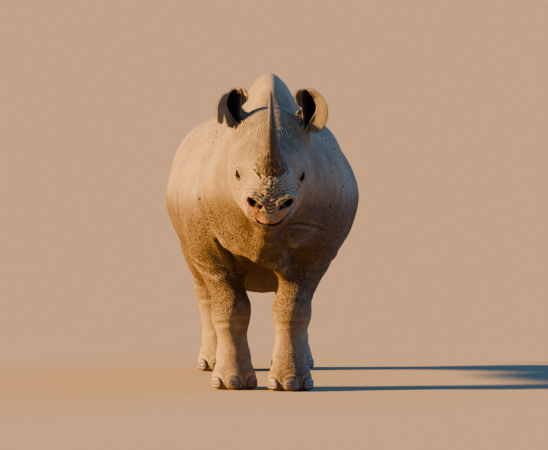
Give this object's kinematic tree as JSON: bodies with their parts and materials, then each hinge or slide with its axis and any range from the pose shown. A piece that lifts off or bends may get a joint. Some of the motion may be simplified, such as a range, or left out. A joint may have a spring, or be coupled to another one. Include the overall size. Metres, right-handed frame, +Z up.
{
  "type": "black rhinoceros model",
  "caption": "Life-size model of a standing black rhinoceros, head raised to the front, with two horns on the snout, cupped ears and three-nailed feet.",
  "frame": {"origin": "centre of the footprint of the whole model's bounding box, on the floor", "axes": "+Z up; -Y the way the animal faces; +X the animal's left"},
  "size_m": [0.9619, 2.9904, 1.5492],
  "materials": {
    "hide": "dusty, coarse and creased grey-brown hide",
    "horn": "fibrous horn, dark and smooth above, ochre and rough at the base",
    "nail": "worn matt toenail",
    "eye": "wet, nearly black brown"
  },
  "bodies": {
    "root": {"head": "hide", "lower_jaw": "hide", "neck": "hide", "chest": "hide", "barrel": "hide", "rump": "hide", "foreleg_right_upper": "hide", "foreleg_right_lower": "hide", "forefoot_right": "hide", "foreleg_left_upper": "hide", "foreleg_left_lower": "hide", "forefoot_left": "hide", "hindleg_right_upper": "hide", "hindleg_right_lower": "hide", "hindfoot_right": "hide", "hindleg_left_upper": "hide", "hindleg_left_lower": "hide", "hindfoot_left": "hide", "ear_right": "hide", "ear_left": "hide", "tail": "hide", "horn_front": "horn", "horn_rear": "horn", "eye_right": "eye", "eye_left": "eye", "nail_forefoot_right_outer": "nail", "nail_forefoot_right_front": "nail", "nail_forefoot_right_inner": "nail", "nail_forefoot_left_outer": "nail", "nail_forefoot_left_front": "nail", "nail_forefoot_left_inner": "nail", "nail_hindfoot_right_outer": "nail", "nail_hindfoot_right_front": "nail", "nail_hindfoot_right_inner": "nail", "nail_hindfoot_left_outer": "nail", "nail_hindfoot_left_front": "nail", "nail_hindfoot_left_inner": "nail"}
  },
  "joints": []
}
